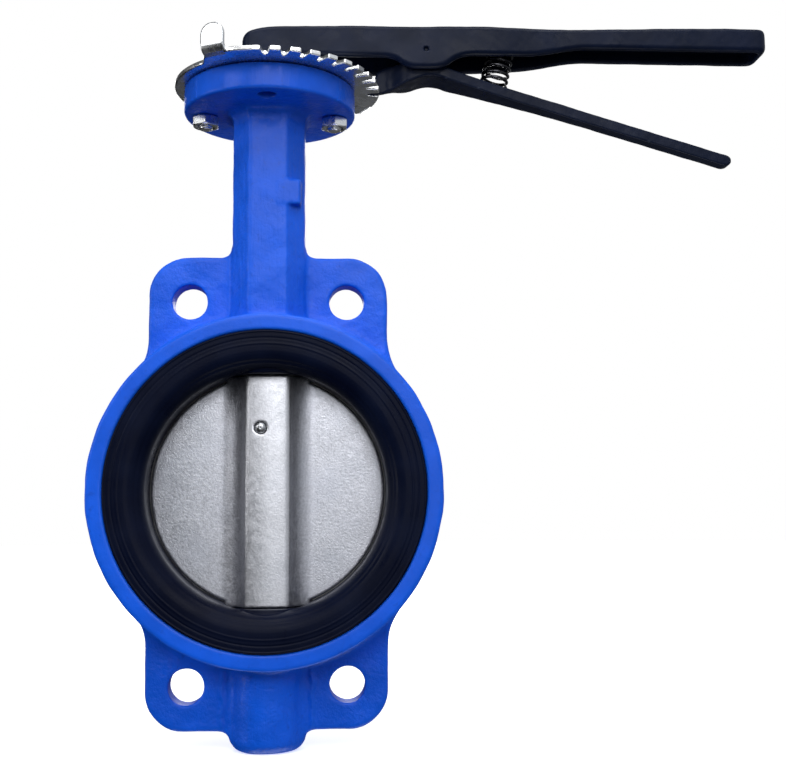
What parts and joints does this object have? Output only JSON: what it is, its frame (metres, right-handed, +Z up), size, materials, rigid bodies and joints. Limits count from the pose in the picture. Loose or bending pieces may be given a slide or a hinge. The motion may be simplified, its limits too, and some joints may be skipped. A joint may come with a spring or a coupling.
{
  "type": "wafer butterfly valve",
  "caption": "Wafer butterfly valve with four bolt lugs, a rubber seat, a long neck and a latching hand lever on a notch plate.",
  "frame": {"origin": "centre of the disc, where the stem's axis crosses the pipe's axis, midway between the two pipe faces", "axes": "+Z up the stem to the handle, +Y along the pipe, +X along the closed lever"},
  "size_m": [0.3573, 0.1081, 0.3765],
  "materials": {
    "body_paint": "blue epoxy paint over a rough casting",
    "rubber": "moulded black rubber, satin",
    "bronze": "turned bronze",
    "steel": "turned stainless steel",
    "zinc_plate": "bright zinc plate",
    "disc_plating": "plated ductile iron, sand-cast grain",
    "lever_paint": "black enamel, semi-gloss",
    "spring_steel": "blackened spring wire"
  },
  "bodies": {
    "valve_body": {"body_casting": "body_paint", "seat_liner": "rubber", "neck_bush_upper": "bronze", "neck_bush_lower": "bronze", "foot_bush": "bronze", "stem_o_ring_upper": "rubber", "stem_o_ring_lower": "rubber", "stem_o_ring_foot": "rubber", "neck_circlip": "steel", "notch_plate": "zinc_plate", "plate_bolt_left": "zinc_plate", "plate_bolt_right": "zinc_plate", "plate_nut_left": "zinc_plate", "plate_nut_right": "zinc_plate"},
    "stem_and_handle": {"disc": "disc_plating", "disc_taper_pin": "steel", "stem": "steel", "stem_split_ring": "steel", "handle": "lever_paint", "handle_washer": "zinc_plate", "handle_screw": "zinc_plate", "pivot_pin": "lever_paint", "return_spring": "spring_steel"},
    "trigger": {"trigger_lever": "lever_paint"}
  },
  "joints": [
    {"name": "stem_turn", "type": "hinge", "parent": "valve_body", "child": "stem_and_handle", "pos_m": [0, 0, 0], "axis": [0, 0, 1], "range_deg": [-90, 0]},
    {"name": "trigger_squeeze", "type": "hinge", "parent": "stem_and_handle", "child": "trigger", "pos_m": [0.0825, 0, 0.2312], "axis": [0, 1, 0], "range_deg": [-13, 0], "stiffness_Nm_per_rad": 3, "springref_deg": 17.19, "deforming": ["return_spring"]}
  ]
}
